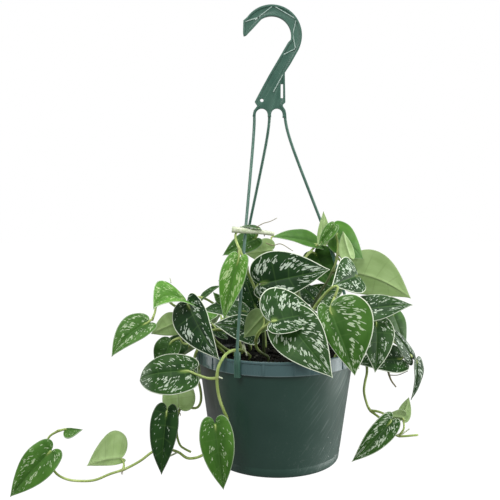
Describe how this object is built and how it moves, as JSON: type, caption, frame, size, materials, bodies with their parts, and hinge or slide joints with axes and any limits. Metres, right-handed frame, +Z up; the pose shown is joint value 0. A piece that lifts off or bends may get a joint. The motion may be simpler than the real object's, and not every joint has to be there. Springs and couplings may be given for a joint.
{
  "type": "satin pothos in a hanging pot",
  "caption": "Trailing satin pothos with heart-shaped silver-blotched leaves, growing in soil in a tapered plastic hanging pot with a three-strand clip-on hanger and a flat hook",
  "frame": {"origin": "the inside top of the hook, where the object hangs", "axes": "+Z up, -Y the front of the pot, +X to the right seen from the front"},
  "size_m": [0.3943, 0.2245, 0.4718],
  "materials": {
    "pot_plastic": "dark green moulded plastic, satin gloss",
    "hanger_plastic": "grey-green moulded plastic, satin",
    "potting_soil": "loose dark peat with pale grit, dull",
    "foliage": "living leaf, dark green with silver blotches, satin sheen, paler underside"
  },
  "bodies": {
    "root": {"pot": "pot_plastic", "soil": "potting_soil", "hanger": "hanger_plastic", "vine_front_left": "foliage", "vine_left_hang": "foliage", "vine_left_up": "foliage", "vine_mid_left": "foliage", "vine_top_left": "foliage", "vine_top_mid": "foliage", "vine_centre": "foliage", "vine_front_right": "foliage", "vine_crown": "foliage", "vine_right_top": "foliage", "vine_right": "foliage", "vine_right_low": "foliage", "vine_back_right": "foliage", "vine_back_1": "foliage", "vine_back_2": "foliage", "vine_back_3": "foliage", "vine_back_left": "foliage"}
  },
  "joints": []
}
